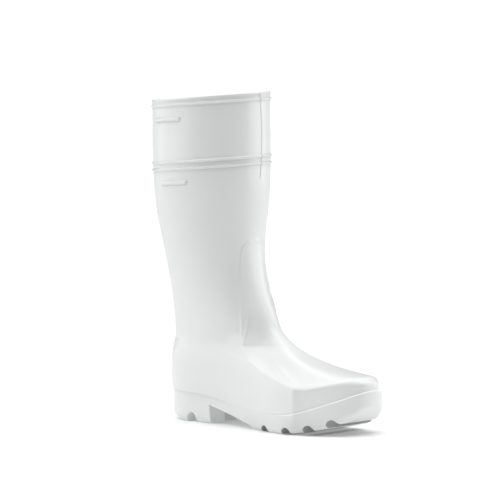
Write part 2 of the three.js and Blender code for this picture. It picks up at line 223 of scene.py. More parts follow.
@dataclass(frozen=True)
class Last:
    """The boot's named sizes in millimetres, and the surfaces that they give.

    Places are measured from the heel's back and the floor. q is the share of the way round the boot from the
    toe's tip by the medial side, and level runs from 0 at the sole to the top at the collar.
    """

    sole_length: float = 294.0
    ball_width: float = 103.0
    seat_height: float = 36.0
    shoulder_height: float = 78.0
    toe_spring: float = 32.0
    heel_height: float = 22.0
    instep_height: float = 108.0
    boot_height: float = 384.0
    collar_fall: float = 14.0
    collar_depth: float = 145.0
    collar_width: float = 126.0
    shaft_line: float = 48.0
    gap: float = 0.06
    instep_dip: float = 17.0
    corner_column: float = 17.95 / 22
    corner_reach: float = 15.0
    corner_out: float = 2.3
    crease_height: float = 92.5
    crease_fall: float = 9.0
    crease_ledge: float = 1.0
    crease_lean: float = 6.5
    crease_fall_span: tuple[float, float] = (72, 106)
    crease_lean_span: tuple[float, float] = (45, 75)
    crease_span: tuple[float, float, float, float] = (4, 34, 84, 114)
    ledge_share: float = 0.62
    ledge_sag: float = 2.0
    neck_rise: float = 8.0
    neck_lean: float = 9.0
    wall_shares: tuple[float, float] = (0.35, 0.84)
    shoulder_share: float = 0.16
    low_vamp: tuple[float, float] = (0.34, 0.8)
    high_vamp: tuple[float, float] = (0.7, 1.15)
    lateral_fill: float = 0.45
    lateral_span: tuple[float, float] = (3, 28)
    foot_levels: int = 7
    foot_wall: float = 4.2
    shaft_wall: float = 2.8

    @property
    def top(self) -> int:
        """The level of the collar."""
        return self.foot_levels + len(SHAFT_LOOPS)

    def ring(self, q: np.ndarray) -> dict[str, np.ndarray]:
        """All columns of the stations table at q.

        Args:
            q: Shares of the way round.

        Returns:
            One array for each column of the table, and y across the foot.
        """
        medial = [[getattr(s, f) for f in STATION_FIELDS] + [s.medial] for s in STATIONS]
        lateral = [[getattr(s, f) for f in STATION_FIELDS] + [-s.lateral] for s in STATIONS[-2:0:-1]]
        turn = STATION_FIELDS.index("turn")
        for row in lateral:
            row[turn] = 360 - row[turn]
        table = np.array(medial + lateral, dtype=float)
        count = len(table)
        place = (q - np.floor(q)) * count
        first = np.floor(place).astype(int)
        weights = spline_weights(place - first)
        total = np.zeros(q.shape + (table.shape[1],))
        for k in range(4):
            index = first - 1 + k
            rows = table[index % count].copy()
            rows[..., turn] += 360 * (index // count)
            total += weights[k][..., None] * rows
        return {name: total[..., i] for i, name in enumerate(STATION_FIELDS + ("y",))}

    def outline(
        self, q: np.ndarray, offset: np.ndarray | float = 0.0, corner: float = 1.0
    ) -> tuple[np.ndarray, np.ndarray]:
        """The sole's edge in plan.

        Args:
            q: Shares of the way round.
            offset: How far the edge is moved outwards.
            corner: How much of the ball's corner is kept, from 0 to 1.

        Returns:
            Its x and y.
        """
        whole = self.ring(around(400))
        x0, x1 = whole["x"].min(), whole["x"].max()
        y0, y1 = whole["y"].min(), whole["y"].max()

        def place(share: np.ndarray) -> tuple[np.ndarray, np.ndarray]:
            """The edge itself, stretched to the sole's true size."""
            row = self.ring(share)
            return (row["x"] - x0) / (x1 - x0) * self.sole_length, row["y"] / (y1 - y0) * self.ball_width

        step = 1e-4
        x, y = place(q)
        (xa, ya), (xb, yb) = place(q - step), place(q + step)
        run = np.hypot(xb - xa, yb - ya)
        away = np.abs((q - self.corner_column + 0.5) % 1 - 0.5) * run / (2 * step)
        out = offset + corner * self.corner_out * np.clip(1 - away / self.corner_reach, 0, 1) ** 2
        return x + out * (yb - ya) / run, y - out * (xb - xa) / run

    def height(self, base: Base, x: np.ndarray) -> np.ndarray:
        """How high the seat or the sole's ground lies.

        Args:
            base: Which of the two.
            x: Places along the foot, in millimetres.

        Returns:
            The height over the floor at each place.
        """
        q = np.arange(241) / 480
        row = self.ring(q)
        along = self.outline(q)[0]
        rise = row["seat"] * self.seat_height
        if base is Base.GROUND:
            rise = np.maximum(0, row["ground"]) * self.toe_spring
        return np.interp(x, along[::-1], rise[::-1])

    def wall_loop(self, q: np.ndarray, share: float, offset: np.ndarray) -> np.ndarray:
        """A loop between the seat and the shoulder of the foot.

        Args:
            q: Shares of the way round.
            share: How far up it lies, from 0 at the seat to 1 at the shoulder.
            offset: How far out it lies, in shares of the ball's width.

        Returns:
            The loop's points.
        """
        row = self.ring(q)
        x, y = self.outline(q, offset * self.ball_width)
        low = self.height(Base.SEAT, x) + self.gap
        return np.stack([x, y, low + (row["shoulder"] * self.shoulder_height - low) * share], -1)

    def shaft_loop(self, q: np.ndarray, loop: ShaftLoop) -> np.ndarray:
        """One loop of the shaft: an ellipse, lower at the back.

        Args:
            q: Shares of the way round.
            loop: Its row of the table.

        Returns:
            The loop's points.
        """
        angle = np.radians(self.ring(q)["turn"])
        ahead = self.collar_depth / 2 * loop.depth * np.cos(angle)
        front = self.instep_height + (self.boot_height - self.instep_height) * loop.height
        fallen = self.collar_fall * loop.fall * (1 - np.cos(angle)) / 2
        across = self.collar_width / 2 * loop.width * np.sin(angle)
        middle = self.shaft_line + self.collar_depth * loop.centre
        return np.stack([middle + ahead, across, front - fallen], -1)

    def loops(self, q: np.ndarray) -> np.ndarray:
        """Every control loop of the upper at q, with one more beyond each end.

        Args:
            q: Shares of the way round.

        Returns:
            An array of loops by places by 3.
        """
        row = self.ring(q)
        x, y = self.outline(q, -row["top_in"] * self.ball_width)
        edge = np.stack([x, y, row["shoulder"] * self.shoulder_height + row["top_up"] * self.ball_width], -1)
        ankle = self.shaft_loop(q, SHAFT_LOOPS[0])
        turn = signed(row["turn"])
        side = np.abs(turn)
        fuller = 1 - self.lateral_fill * ease(*self.lateral_span, -turn)

        def vamp(share: float, sag: float) -> np.ndarray:
            """A loop part of the way from the foot's top edge to the ankle.

            Args:
                share: How much of the way.
                sag: How much of the instep's hollow it takes.

            Returns:
                The loop's points.
            """
            point = edge + (ankle - edge) * share
            point[..., 2] -= self.instep_dip * row["dip"] * sag * fuller
            return point

        front, full, fading, back = self.crease_span
        beside = (ease(front, full, side) * (1 - ease(fading, back, side)))[..., None]
        angle = np.radians(row["turn"])
        fall = self.crease_fall * ease(*self.crease_fall_span, side)
        lean = 1 - ease(*self.crease_lean_span, side)

        def neck(rise: float, ledge: float) -> np.ndarray:
            """A loop on the ankle's wall, at a rise from the crease.

            Args:
                rise: Its height over the crease.
                ledge: How far it stands out of the ankle.

            Returns:
                The loop's points.
            """
            loop = SHAFT_LOOPS[0]
            depth = self.collar_depth / 2 * loop.depth + ledge
            width = self.collar_width / 2 * loop.width + ledge
            ahead = self.shaft_line + self.collar_depth * loop.centre + depth * np.cos(angle)
            return np.stack([ahead, width * np.sin(angle), self.crease_height - fall + rise], -1)

        def blend(front: np.ndarray, neck_point: np.ndarray) -> np.ndarray:
            """The front's smooth instep, with the ankle's crease beside it."""
            return front + (neck_point - front) * beside

        crease = neck(0.0, self.crease_ledge + self.crease_lean * lean)
        ledge = edge + (crease - edge) * self.ledge_share
        ledge[..., 2] -= self.ledge_sag
        low_vamp = blend(vamp(*self.low_vamp), ledge)
        stack = [
            self.wall_loop(q, 0, row["overhang"]),
            *[self.wall_loop(q, share, row["bulge"]) for share in self.wall_shares],
            self.wall_loop(q, 1, -row["edge_in"]),
            edge,
            edge + (low_vamp - edge) * self.shoulder_share,
            low_vamp,
            blend(vamp(*self.high_vamp), crease),
            blend(ankle, neck(self.neck_rise + self.neck_lean * lean, 0.0)),
            *[self.shaft_loop(q, loop) for loop in SHAFT_LOOPS[1:]],
        ]
        return np.stack([2 * stack[0] - stack[1], *stack, 2 * stack[-1] - stack[-2]])

    def surface(self, q: np.ndarray, levels: np.ndarray) -> np.ndarray:
        """Points of the upper's outer form.

        Args:
            q: The columns.
            levels: The rows.

        Returns:
            An array of shape rows by columns by 3.
        """
        loops = self.loops(q)
        first = np.minimum(self.top - 1, np.floor(levels)).astype(int)
        weights = spline_weights(levels - first)
        return sum(weights[k][:, None, None] * loops[first + k] for k in range(4))

    def normals(self, q: np.ndarray, levels: np.ndarray) -> np.ndarray:
        """Unit directions straight out of the upper's outer form.

        Args:
            q: The columns.
            levels: The rows.

        Returns:
            An array of shape rows by columns by 3.
        """
        across = self.surface(q + 0.002, levels) - self.surface(q - 0.002, levels)
        higher, lower = np.minimum(self.top, levels + 0.02), np.maximum(0, levels - 0.02)
        up = self.surface(q, higher) - self.surface(q, lower)
        out = np.cross(across, up)
        return out / np.linalg.norm(out, axis=-1, keepdims=True)

    def level_at(self, heights: np.ndarray) -> np.ndarray:
        """The levels at which the front of the shaft has given heights."""
        levels = np.linspace(self.foot_levels, self.top, 2201)
        return np.interp(heights, self.front_height(levels), levels)

    def front_height(self, levels: np.ndarray) -> np.ndarray:
        """The height of the boot's front at given levels."""
        return self.surface(np.zeros(1), levels)[:, 0, 2]


# ---------------------------------------------------------------------------------------------------------
# Finishes
# ---------------------------------------------------------------------------------------------------------


class Value:
    """A shader socket that takes part in sums."""

    def __init__(self, graph: "Graph", socket: bpy.types.NodeSocket) -> None:
        """Keeps the socket with the node tree that it belongs to."""
        self.graph = graph
        self.socket = socket

    def _math(self, operation: str, first: "Value | float", second: "Value | float") -> "Value":
        """One Math node on two terms."""
        node = self.graph.node("ShaderNodeMath", {"operation": operation}, {0: first, 1: second})
        return Value(self.graph, node.outputs[0])

    def __add__(self, other: "Value | float") -> "Value":
        """self + other."""
        return self._math("ADD", self, other)

    def __radd__(self, other: float) -> "Value":
        """other + self."""
        return self._math("ADD", other, self)

    def __sub__(self, other: "Value | float") -> "Value":
        """self - other."""
        return self._math("SUBTRACT", self, other)

    def __rsub__(self, other: float) -> "Value":
        """other - self."""
        return self._math("SUBTRACT", other, self)

    def __mul__(self, other: "Value | float") -> "Value":
        """self * other."""
        return self._math("MULTIPLY", self, other)

    def __rmul__(self, other: float) -> "Value":
        """other * self."""
        return self._math("MULTIPLY", other, self)

    def sine(self) -> "Value":
        """The sine of the value."""
        return self._math("SINE", self, 0.0)

    def between(self, low: float, high: float) -> "Value":
        """A smooth step from 0 at low to 1 at high.

        Args:
            low: Where the step starts.
            high: Where it ends.

        Returns:
            The step.
        """
        sockets = {"Value": self, "From Min": low, "From Max": high}
        node = self.graph.node("ShaderNodeMapRange", {"interpolation_type": "SMOOTHSTEP"}, sockets)
        return Value(self.graph, node.outputs[0])


class Graph:
    """The node tree of a material or of the sky."""

    def __init__(self, owner: bpy.types.Material | bpy.types.World, output: str) -> None:
        """Empties the owner's tree and gives it its output.

        Args:
            owner: The material or the world.
            output: The output node's type.
        """
        owner.use_nodes = True
        self.tree = owner.node_tree
        self.tree.nodes.clear()
        self.output = self.node(output)

    def node(self, kind: str, settings: dict | None = None, sockets: dict | None = None) -> bpy.types.Node:
        """Adds one node.

        Args:
            kind: The node's type.
            settings: Its settings, set first.
            sockets: What each input, by name or number, is set to or linked from.

        Returns:
            The node.
        """
        node = self.tree.nodes.new(kind)
        for name, setting in (settings or {}).items():
            setattr(node, name, setting)
        for name, given in (sockets or {}).items():
            source = given.socket if isinstance(given, Value) else given
            if isinstance(source, bpy.types.NodeSocket):
                self.tree.links.new(source, node.inputs[name])
            else:
                node.inputs[name].default_value = source
        return node

    def surface(self, shader: bpy.types.Node) -> None:
        """Closes the tree with its one shader."""
        self.tree.links.new(shader.outputs[0], self.output.inputs["Surface"])

    def coordinates(self, space: Space = Space.OBJECT) -> bpy.types.NodeSocket:
        """The coordinates that a pattern follows."""
        return self.node("ShaderNodeTexCoord").outputs[space.value]

    def facing(self, vector: bpy.types.NodeSocket, way: Vector) -> Value:
        """How much a direction agrees with another: the cosine between them."""
        node = self.node("ShaderNodeVectorMath", {"operation": "DOT_PRODUCT"}, {0: vector, 1: way})
        return Value(self, node.outputs["Value"])


class Finish(Graph):
    """The node tree of one material."""

    def __init__(self, name: str) -> None:
        """Makes an empty material of that name with its output."""
        self.material = bpy.data.materials.new(name)
        super().__init__(self.material, "ShaderNodeOutputMaterial")

    def axis(self, vector: bpy.types.NodeSocket, name: str) -> Value:
        """One part of a vector, by its letter."""
        return Value(self, self.node("ShaderNodeSeparateXYZ", None, {0: vector}).outputs[name])

    def stretched(
        self, vector: bpy.types.NodeSocket, scale: tuple[float, float, float]
    ) -> bpy.types.NodeSocket:
        """Coordinates scaled by a factor along each axis."""
        node = self.node("ShaderNodeVectorMath", {"operation": "MULTIPLY"}, {0: vector, 1: scale})
        return node.outputs[0]

    def noise(
        self, vector: bpy.types.NodeSocket, scale: float, detail: float = 3.0, rough: float = 0.5
    ) -> Value:
        """Cloudy noise from 0 to 1."""
        sockets = {"Vector": vector, "Scale": scale, "Detail": detail, "Roughness": rough}
        return Value(self, self.node("ShaderNodeTexNoise", None, sockets).outputs[0])

    def painted(self, name: str) -> Value:
        """A value that the mesh carries at each vertex."""
        return Value(self, self.node("ShaderNodeAttribute", {"attribute_name": name}).outputs["Fac"])

    def mixed(
        self,
        factor: Value,
        first: tuple | bpy.types.NodeSocket,
        second: tuple | bpy.types.NodeSocket,
    ) -> bpy.types.NodeSocket:
        """A colour between two.

        Args:
            factor: How much of the second.
            first: A colour or a socket.
            second: A colour or a socket.

        Returns:
            The mixed colour.
        """
        node = self.tree.nodes.new("ShaderNodeMix")
        node.data_type = "RGBA"
        inputs = {s.name: s for s in node.inputs if s.type == "RGBA"}
        self.tree.links.new(factor.socket, node.inputs[0])
        for socket, given in zip((inputs["A"], inputs["B"]), (first, second)):
            if isinstance(given, bpy.types.NodeSocket):
                self.tree.links.new(given, socket)
            else:
                socket.default_value = (*given, 1.0)
        return next(s for s in node.outputs if s.type == "RGBA")

    def bump(self, height: Value, strength: float, depth: float) -> bpy.types.NodeSocket:
        """A normal tilted by a height, with its depth in metres."""
        node = self.node("ShaderNodeBump", None, {"Strength": strength, "Distance": depth, "Height": height})
        return node.outputs[0]

    def shade(self, sockets: dict) -> bpy.types.Material:
        """Closes the material with one main shader."""
        self.surface(self.node("ShaderNodeBsdfPrincipled", None, sockets))
        return self.material


@dataclass(frozen=True)
class GlossyRubber:
    """White moulded rubber: glossy, slightly uneven, darker along the pressed seam and with painted shade
    below its raised work.
    """

    colour: tuple[float, float, float] = (0.83, 0.85, 0.842)
    shaded: tuple[float, float, float] = (0.76, 0.785, 0.778)
    # The dark colour that the "line" values mix in: along the pressed seam, and as painted shade below the
    # ridges and bars and in the band under the rim.
    pressed: tuple[float, float, float] = (0.3, 0.31, 0.31)
    gloss: float = 0.33

    def make(self) -> bpy.types.Material:
        """Builds the upper's material.

        Returns:
            The material.
        """
        finish = Finish("glossy_white_rubber")
        place = finish.coordinates()
        clouds = finish.noise(place, 6.0, 1.0)
        grain = finish.noise(place, 420.0, 3.0)
        swirl = finish.noise(place, 38.0, 1.0)
        dust = finish.noise(place, 24.0, 5.0, 0.62)
        soil = finish.axis(place, "Z").between(0.1, 0.0) * dust.between(0.45, 0.75) * 0.25
        tone = clouds * 0.22 + soil
        line = finish.painted("line")
        body = finish.mixed(tone, self.colour, self.shaded)
        # Darker along the pressed seam, and painted shade below the raised work.
        painted = finish.mixed(line * 0.6, body, self.pressed)
        height = grain * 0.5 + swirl * 0.5
        return finish.shade(
            {
                "Base Color": painted,
                "Roughness": self.gloss + (dust - 0.5) * 0.08 + line * 0.3,
                "Normal": finish.bump(height, 0.25, 0.0003),
                "Coat Weight": 0.5,
                "Coat Roughness": 0.1,
                "IOR": 1.5,
            }
        )


@dataclass(frozen=True)
class TreadRubber:
    """The outsole's rubber: a little duller, with fine scuffs and dust near the floor, painted shade in the
    forefoot's grooves and a painted highlight along the toe's lip.
    """

    colour: tuple[float, float, float] = (0.815, 0.835, 0.828)
    scuffed: tuple[float, float, float] = (0.62, 0.63, 0.61)
    # Painted highlight: the light colour of the lip round the toe.
    lip_highlight: tuple[float, float, float] = (0.97, 0.975, 0.97)
    # Painted shade: the dark colour of the forefoot's groove walls.
    groove_shade: tuple[float, float, float] = (0.3, 0.3, 0.295)
    gloss: float = 0.38

    def make(self) -> bpy.types.Material:
        """Builds the outsole's material.

        Returns:
            The material.
        """
        finish = Finish("white_tread_rubber")
        place = finish.coordinates()
        clouds = finish.noise(place, 14.0, 3.0)
        scratches = finish.noise(finish.stretched(place, (35.0, 35.0, 420.0)), 6.0, 3.0)
        grain = finish.noise(place, 520.0, 3.0)
        near_floor = finish.axis(place, "Z").between(0.03, 0.0)
        worn = near_floor * clouds.between(0.4, 0.75) * 0.5 + scratches.between(0.62, 0.8) * 0.12
        clean = finish.mixed(worn, self.colour, self.scuffed)
        # Painted shade on the walls of the forefoot's grooves.
        body = finish.mixed(finish.painted("groove") * 0.9, clean, self.groove_shade)
        return finish.shade(
            {
                # Painted highlight along the lip round the toe.
                "Base Color": finish.mixed(finish.painted("lip") * 0.9, body, self.lip_highlight),
                "Roughness": self.gloss + (clouds - 0.5) * 0.12 + worn * 0.25,
                "Normal": finish.bump(grain * 0.6 + scratches * 0.4, 0.4, 0.0005),
                "Coat Weight": 0.12,
                "Coat Roughness": 0.15,
                "IOR": 1.5,
            }
        )


@dataclass(frozen=True)
class KnitLining:
    """The knitted sock that is bonded inside the boot."""

    colour: tuple[float, float, float] = (0.79, 0.79, 0.76)
    hollow: tuple[float, float, float] = (0.58, 0.58, 0.55)
    wale: float = 0.0022
    course: float = 0.0026

    def make(self) -> bpy.types.Material:
        """Builds the lining's material on the sock's own map, in metres.

        Returns:
            The material.
        """
        finish = Finish("knit_lining")
        flat = finish.coordinates(Space.MAP)
        across, along = finish.axis(flat, "X"), finish.axis(flat, "Y")
        rib = (across * (2 * math.pi / self.wale)).sine()
        row = (along * (2 * math.pi / self.course) + rib * 1.3).sine()
        fuzz = finish.noise(finish.coordinates(), 900.0, 2.0)
        stitch = rib * 0.3 + row * 0.3 + fuzz * 0.3 + 0.4
        return finish.shade(
            {
                "Base Color": finish.mixed(stitch.between(0.05, 0.85), self.hollow, self.colour),
                "Roughness": 0.78 + fuzz * 0.2,
                "Normal": finish.bump(stitch, 0.6, 0.0006),
                "Sheen Weight": 0.25,
            }
        )


@dataclass(frozen=True)
class PressedFelt:
    """The loose insole: pale needled felt, darker where the foot has pressed it."""

    colour: tuple[float, float, float] = (0.74, 0.735, 0.69)
    dark: tuple[float, float, float] = (0.53, 0.525, 0.49)

    def make(self) -> bpy.types.Material:
        """Builds the insole's material.

        Returns:
            The material.
        """
        finish = Finish("pressed_felt")
        place = finish.coordinates()
        fibres = finish.noise(finish.stretched(place, (1.0, 2.2, 1.0)), 700.0, 5.0, 0.7)
        tufts = finish.noise(place, 120.0, 3.0)
        return finish.shade(
            {
                "Base Color": finish.mixed(fibres * 0.6 + tufts * 0.4, self.dark, self.colour),
                "Roughness": 0.85 + tufts * 0.14,
                "Normal": finish.bump(fibres * 0.7 + tufts * 0.3, 0.7, 0.0008),
                "Sheen Weight": 0.3,
            }
        )


@dataclass(frozen=True)
class StudioFloor:
    """The plain pale floor."""

    colour: tuple[float, float, float] = (0.98, 0.98, 0.98)
    faded: tuple[float, float, float] = (0.97, 0.97, 0.97)
    bounced: tuple[float, float, float] = (0.66, 0.66, 0.66)
    lift: float = 0.02
    glow: float = 0.27
    reach: float = 0.6

    def make(self) -> bpy.types.Material:
        """Builds the floor's material, which throws back less light than it shows.

        Returns:
            The material.
        """
        finish = Finish("studio_floor")
        path = Value(finish, finish.node("ShaderNodeLightPath").outputs["Is Camera Ray"])
        place = finish.coordinates()
        seen = finish.mixed(finish.noise(place, 3.0) * 0.05, self.colour, self.faded)
        length = finish.node("ShaderNodeVectorMath", {"operation": "LENGTH"}, {0: place})
        near = Value(finish, length.outputs["Value"]).between(self.reach, self.reach / 3) * self.glow
        glow = finish.mixed(path * self.lift + (1 - path) * near, (0, 0, 0), (1, 1, 1))
        base = finish.mixed(path, self.bounced, seen)
        return finish.shade(
            {"Base Color": base, "Emission Color": glow, "Emission Strength": 1.0, "Roughness": 0.9}
        )


# ---------------------------------------------------------------------------------------------------------
# Meshes
# ---------------------------------------------------------------------------------------------------------


def sheet_of(points: np.ndarray, closed: bool = True) -> bmesh.types.BMesh:
    """A grid laid through points.

    Args:
        points: Rows by columns by 3, in millimetres. Columns run anticlockwise seen from above, rows upwards.
        closed: Whether the last column joins the first.

    Returns:
        The mesh, in metres, with the points' rows and columns kept as whole-number layers.
    """
    rows, columns = points.shape[:2]
    wrapped = np.concatenate([points, points[:, :1]], 1) if closed else points
    across, up = wrapped.shape[1] - 1, rows - 1
    mesh = bmesh.new()
    bmesh.ops.create_grid(mesh, x_segments=across, y_segments=up, size=1.0)
    row_layer = mesh.verts.layers.int.new("row")
    column_layer = mesh.verts.layers.int.new("column")
    for vertex in mesh.verts:
        c = round((vertex.co.x + 1) / 2 * across)
        r = round((vertex.co.y + 1) / 2 * up)
        vertex[row_layer] = r
        vertex[column_layer] = c % columns
        vertex.co = Vector(wrapped[r, c]) * MILLIMETRE
    if closed:
        bmesh.ops.remove_doubles(mesh, verts=mesh.verts[:], dist=1e-7)
    return mesh


def paint(mesh: bmesh.types.BMesh, name: str, values: np.ndarray) -> None:
    """Gives each vertex of a grid its value.

    Args:
        mesh: The grid, from sheet_of.
        name: What the finish knows the values by.
        values: The values, rows by columns. Vertices of later rows have 0.
    """
    marks = mesh.verts.layers.float.new(name)
    rows, columns = mesh.verts.layers.int["row"], mesh.verts.layers.int["column"]
    for vertex in mesh.verts:
        if vertex[rows] < len(values):
            vertex[marks] = float(values[vertex[rows], vertex[columns]])


def mesh_data(mesh: bmesh.types.BMesh, name: str) -> bpy.types.Mesh:
    """Turns a mesh into mesh data.

    Args:
        mesh: The mesh, which is used up.
        name: The data's name.

    Returns:
        The data.
    """
    data = bpy.data.meshes.new(name)
    mesh.to_mesh(data)
    mesh.free()
    return data


def placed(name: str, data: bpy.types.ID) -> bpy.types.Object:
    """Puts a new object in the scene.

    Args:
        name: The object's name.
        data: Its mesh, light or camera.

    Returns:
        The object.
    """
    made = bpy.data.objects.new(name, data)
    bpy.context.collection.objects.link(made)
    return made


def dressed(
    mesh: bmesh.types.BMesh, name: str, material: bpy.types.Material, smooth: float | None
) -> bpy.types.Object:
    """Turns a mesh into a finished object on the boot's body.

    Args:
        mesh: The mesh, which is used up.
        name: The object's name.
        material: Its finish.
        smooth: The angle in degrees up to which edges are shaded smooth, or None for all of them.

    Returns:
        The object.
    """
    data = mesh_data(mesh, name)
    data.materials.append(material)
    for polygon in data.polygons:
        polygon.use_smooth = True
    if smooth is not None:
        data.set_sharp_from_angle(angle=math.radians(smooth))
    made = placed(name, data)
    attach(made, "root")
    log.info("%s: %d faces", name, len(data.polygons))
    return made


@dataclass(frozen=True)
class Bar:
    """A trimming bar of the shaft: its drop from the collar, and the angles between which it runs."""

    drop: float
    start: float
    end: float


@dataclass(frozen=True)
class Upper:
    """Foot, shaft and collar in one hollow moulding, with its raised work."""

    last: Last
    ridge_height: float = 1.6
    ridge_width: float = 3.8
    ridge_crest: float = 1.4
    ridge_drops: tuple[float, ...] = (8.0, 74.0, 82.0)
    bar_height: float = 5.2
    bar_proud: float = 2.1
    bars: tuple[Bar, ...] = (Bar(0.064, 83, 120), Bar(0.256, 77, 111))
    # Painted shade: how much the colour is darkened just below the ridges and along the bars' lower edges.
    ridge_painted_shade: float = 0.3
    bar_painted_shade: float = 0.45
    seam_foot: float = 284.0
    seam_lean: float = 3.3
    seam_bow: float = 3.6
    seam_width: float = 0.6
    seam_depth: float = 0.45
    seam_lip: float = 0.28
    rim_proud: float = 0.7
    # Painted shade in the band just under the collar's rim.
    rim_painted_shade: float = 0.18
    panel_proud: float = 0.45
    panel_lip: float = 0.4
    fold_proud: float = 0.65
    line_width: float = 0.9
    broad_wave: float = 0.22
    fine_wave: float = 0.12
    panel_edge: tuple[tuple[float, float], ...] = (
        (0.0, 212.5), (2.5, 212.2), (9.0, 211.3), (15.0, 209.0), (19.4, 205.7), (22.2, 200.5),
        (24.2, 191.2), (29.5, 168.6), (37.8, 145.9), (47.1, 123.2), (50.6, 109.4),
        (50.6, 102.6), (49.3, 94.0),
    )
    panel_fold: tuple[tuple[float, float], ...] = (
        (23.0, 154.9), (26.9, 145.9), (32.8, 134.4), (38.5, 123.1), (44.1, 111.6),
        (47.6, 102.5), (49.2, 96.0),
    )
    shoulder: tuple[tuple[float, float], ...] = (
        (54.8, 4.26), (54.4, 5.80), (46.1, 3.56), (34.1, 3.60), (25.5, 3.18),
        (22.9, 2.80), (18.4, 3.32), (12.1, 3.42), (4.5, 3.66),
    )
    shoulder_scale: tuple[float, float] = (2.8, 6.0)
    shoulder_height: float = 0.9
    shoulder_reach: float = 4.0
    panel_columns: float = 1.5
    seam_columns: float = 3.0
    bar_columns: float = 3.0
    panel_rows: tuple[float, float] = (95.0, 218.0)
    row_steps: tuple[float, float] = (1.9, 4.5)
    rim_rows: tuple[float, ...] = (1.75, 2.4, 3.2, 4.2)
    least_step: float = 0.3
    lining_gap: float = 0.15
    lining_wall: float = 0.6
    lining_girth: float = 390.0

    def columns(self, count: int) -> np.ndarray:
        """Shares round the boot, closest together where the relief is fine.

        Args:
            count: How many columns; an even number.

        Returns:
            The shares, the same on both sides.
        """
        q = np.linspace(0, 0.5, 2001)
        turn = self.last.ring(q)["turn"]
        foot = np.hypot(*[np.gradient(v) for v in self.last.outline(q)])
        shaft = np.abs(np.gradient(turn))
        ends = [end for bar in self.bars for end in (bar.start, bar.end)]
        fine = 1 + self.panel_columns * (1 - ease(52, 66, turn)) + self.seam_columns * bead(turn, 12.0)
        fine += self.bar_columns * sum(bead(turn - end, 2.5) for end in ends)
        density = foot / foot.sum() + shaft / shaft.sum() * fine
        grown = np.concatenate([[0], np.cumsum((density[1:] + density[:-1]) / 2)])
        half = np.interp(np.linspace(0, grown[-1], count // 2 + 1), grown, q)
        return np.concatenate([half, 1 - half[-2:0:-1]])

    def heights(self) -> np.ndarray:
        """Heights of the shaft's rows at its front, closest together at its raised work.

        Returns:
            The heights, from the ankle up.
        """
        last = self.last
        top, (ankle, calf), (close, wide) = last.boot_height, self.panel_rows, self.row_steps
        rows = [np.arange(ankle, calf, close), np.arange(calf, top - 2, wide)]
        rows += [top - drop + np.arange(-2.7, 2.71, 0.45) for drop in self.ridge_drops]
        rows += [top * (1 - bar.drop) + np.arange(-3.6, 3.61, 0.48) for bar in self.bars]
        rows += [top - np.array(self.rim_rows)]
        merged = np.unique(np.round(np.concatenate(rows), 2))
        kept = [merged[0]]
        for height in merged[1:]:
            if height - kept[-1] > self.least_step and height < top - 1.6:
                kept.append(height)
        return np.array(kept)

    def relief(self, q: np.ndarray, levels: np.ndarray, points: np.ndarray) -> tuple[np.ndarray, np.ndarray]:
        """How far each point stands out of the plain wall.

        Args:
            q: The columns.
            levels: The rows.
            points: The plain wall's points, rows by columns by 3.

        Returns:
            The height out of the wall in millimetres, and how strongly the colour is darkened there: along
            the pressed seam, and as painted shade below the ridges and bars and in the band under the rim.
        """
        turn = self.last.ring(q)["turn"]
        front = self.last.front_height(levels)[:, None]
        flat = np.abs(signed(turn))[None, :] * np.ones_like(front)
        out, painted_shade = self.trim(flat, front)
        line, pressed = self.seam(flat, front, points[..., 1])
        out += pressed + self.panel(flat, points[..., 2])
        out += self.fold(flat, levels[:, None] * np.ones_like(flat))
        out += self.waves(np.radians(turn)[None, :], levels[:, None], front)
        # The pressed seam's line and the painted shade both darken the colour.
        return out, line + painted_shade

    def trim(self, flat: np.ndarray, front: np.ndarray) -> tuple[np.ndarray, np.ndarray]:
        """The ridges round the shaft, its bars and the rim's band.

        Args:
            flat: Angles to either side of the shaft's front, in degrees, rows by columns.
            front: The rows' heights at the front.

        Returns:
            Their height out of the wall in millimetres, and the painted shade below the ridges and bars and
            in the band under the rim.
        """
        top = self.last.boot_height
        out, painted_shade = np.zeros(flat.shape), np.zeros(flat.shape)
        for drop in self.ridge_drops:
            above = front - (top - drop)
            flank = ease(self.ridge_crest / 2 - 0.25, self.ridge_width / 2 + 0.1, np.abs(above))
            out += self.ridge_height * (1 - flank)
            # Painted shade just below each ridge.
            painted_shade += self.ridge_painted_shade * bead(above + self.ridge_width / 2 + 0.3, 1.0)
        for bar in self.bars:
            above = front - top * (1 - bar.drop)
            rise = np.sqrt(np.clip(1 - (above / (self.bar_height / 2)) ** 2, 0, 1))
            ended = ease(bar.end - 0.7, bar.end + 0.9, flat)
            run = ease(bar.start - 0.9, bar.start + 0.7, flat) * (1 - ended)
            out += self.bar_proud * rise * run
            # Painted shadow along each bar's lower edge.
            painted_shade += self.bar_painted_shade * bead(above + self.bar_height / 2, 0.9) * run
        out += self.rim_proud * ease(top - 4.5, top - 1.5, front)
        # Painted shade in the band just under the rim.
        painted_shade += self.rim_painted_shade * bead(front - top + 4.0, 1.8)
        return out, painted_shade

    def seam(self, flat: np.ndarray, front: np.ndarray, across: np.ndarray) -> tuple[np.ndarray, np.ndarray]:
        """The joint up the front of the shaft, a pressed line with a low lip beside it.

        Args:
            flat: Angles to either side of the shaft's front, in degrees, rows by columns.
            front: The rows' heights at the front.
            across: Where the points lie across the boot.

        Returns:
            How strongly the line shows, and the joint's height out of the wall in millimetres.
        """
        share = np.clip((front - self.seam_foot) / (self.last.boot_height - self.seam_foot), 0, 1)
        away = across - self.seam_lean - self.seam_bow * np.sin(np.pi * share)
        shown = ease(self.seam_foot - 3, self.seam_foot + 4, front) * (flat < 60)
        line = bead(away, self.seam_width) * shown
        return line, self.seam_lip * bead(away - 1.5, 0.8) * shown - self.seam_depth * line

